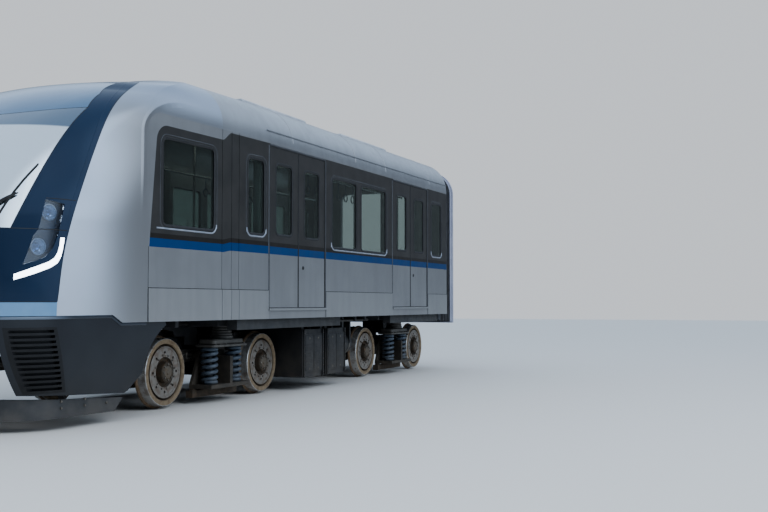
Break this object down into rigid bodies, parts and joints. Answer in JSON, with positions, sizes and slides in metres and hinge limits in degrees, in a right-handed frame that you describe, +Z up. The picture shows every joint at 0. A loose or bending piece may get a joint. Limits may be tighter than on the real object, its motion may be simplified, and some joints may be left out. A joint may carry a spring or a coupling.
{
  "type": "light metro car with driverless nose",
  "caption": "Light metro car with raked glossy nose, silver arch mask, dark window band with blue stripe, plug doors, half gangway and open-faced bogies.",
  "frame": {"origin": "under the middle of the whole car, at the level of the wheel flanges", "axes": "+X forward to the nose, +Y to the car's left, +Z up"},
  "size_m": [11.28, 2.698, 3.8048],
  "materials": {
    "silver_paint": "semi-gloss",
    "charcoal_paint": "satin",
    "roof_grey": "satin",
    "gloss_black": "high gloss",
    "cap_blue_grey": "high gloss",
    "lip_blue": "gloss",
    "screen_glass": "clear laminated",
    "window_glass": "tinted",
    "lamp_glass": "clear",
    "lamp_strip": "lit diffuser",
    "lamp_housing": "reflector",
    "valance_grey": "satin",
    "grille_black": "matt",
    "frame_grey": "matt",
    "underframe_grey": "matt",
    "bellows_rubber": "folded fabric rubber",
    "gangway_lavender": "satin",
    "coupler_steel": "worn",
    "seat_blue": "satin",
    "pole_steel": "brushed",
    "spring_blue": "semi-gloss",
    "bogie_dark": "dusty",
    "wheel_steel": "rust-tinted",
    "motor_dark": "painted",
    "floor_plate": "ribbed"
  },
  "bodies": {
    "carbody": {"underframe": "underframe_grey", "side_wall_left": "silver_paint", "side_wall_right": "silver_paint", "roof_shell": "silver_paint", "rear_end_wall": "roof_grey", "cab_mask": "silver_paint", "nose_lip": "lip_blue", "windscreen": "screen_glass", "front_roof_cap": "cap_blue_grey", "front_surround": "gloss_black", "headlamp_glass": "lamp_glass", "light_strips": "lamp_strip", "headlamps": "lamp_housing", "bumper_valance": "valance_grey", "front_grilles": "grille_black", "obstacle_deflector": "frame_grey", "window_glass_left": "window_glass", "window_glass_right": "window_glass", "door_leaves_left": "charcoal_paint", "door_leaves_right": "charcoal_paint", "roof_climate_units": "roof_grey", "gangway_bellows": "bellows_rubber", "gangway_frame": "gangway_lavender", "gangway_floor": "floor_plate", "rear_drawbar": "coupler_steel", "underfloor_equipment": "frame_grey", "saloon_seats": "seat_blue", "grab_poles": "pole_steel", "front_console": "charcoal_paint"},
    "coupler": {"front_coupler": "coupler_steel"},
    "bogie_front": {"bogie_frame_front": "bogie_dark", "axle_boxes_front": "bogie_dark", "secondary_springs_front": "spring_blue", "traction_motors_front": "motor_dark", "track_brakes_front": "bogie_dark"},
    "wheelset_front_a": {"wheelset_front_a": "wheel_steel"},
    "wheelset_front_b": {"wheelset_front_b": "wheel_steel"},
    "bogie_rear": {"bogie_frame_rear": "bogie_dark", "axle_boxes_rear": "bogie_dark", "secondary_springs_rear": "spring_blue", "traction_motors_rear": "motor_dark", "track_brakes_rear": "bogie_dark"},
    "wheelset_rear_a": {"wheelset_rear_a": "wheel_steel"},
    "wheelset_rear_b": {"wheelset_rear_b": "wheel_steel"}
  },
  "joints": [
    {"name": "bogie_front_yaw", "type": "hinge", "parent": "carbody", "child": "bogie_front", "pos_m": [1.61, 0, 0.6], "axis": [0, 0, 1], "range_deg": [-4, 4]},
    {"name": "wheelset_front_a_roll", "type": "hinge", "parent": "bogie_front", "child": "wheelset_front_a", "pos_m": [2.66, 0, 0.398], "axis": [0, 1, 0], "continuous": true},
    {"name": "wheelset_front_b_roll", "type": "hinge", "parent": "bogie_front", "child": "wheelset_front_b", "pos_m": [0.56, 0, 0.398], "axis": [0, 1, 0], "continuous": true},
    {"name": "bogie_rear_yaw", "type": "hinge", "parent": "carbody", "child": "bogie_rear", "pos_m": [-3.74, 0, 0.6], "axis": [0, 0, 1], "range_deg": [-4, 4]},
    {"name": "wheelset_rear_a_roll", "type": "hinge", "parent": "bogie_rear", "child": "wheelset_rear_a", "pos_m": [-2.69, 0, 0.398], "axis": [0, 1, 0], "continuous": true},
    {"name": "wheelset_rear_b_roll", "type": "hinge", "parent": "bogie_rear", "child": "wheelset_rear_b", "pos_m": [-4.79, 0, 0.398], "axis": [0, 1, 0], "continuous": true},
    {"name": "coupler_swing", "type": "hinge", "parent": "carbody", "child": "coupler", "pos_m": [4.11, 0, 0.56], "axis": [0, 0, 1], "range_deg": [-10, 10]}
  ]
}
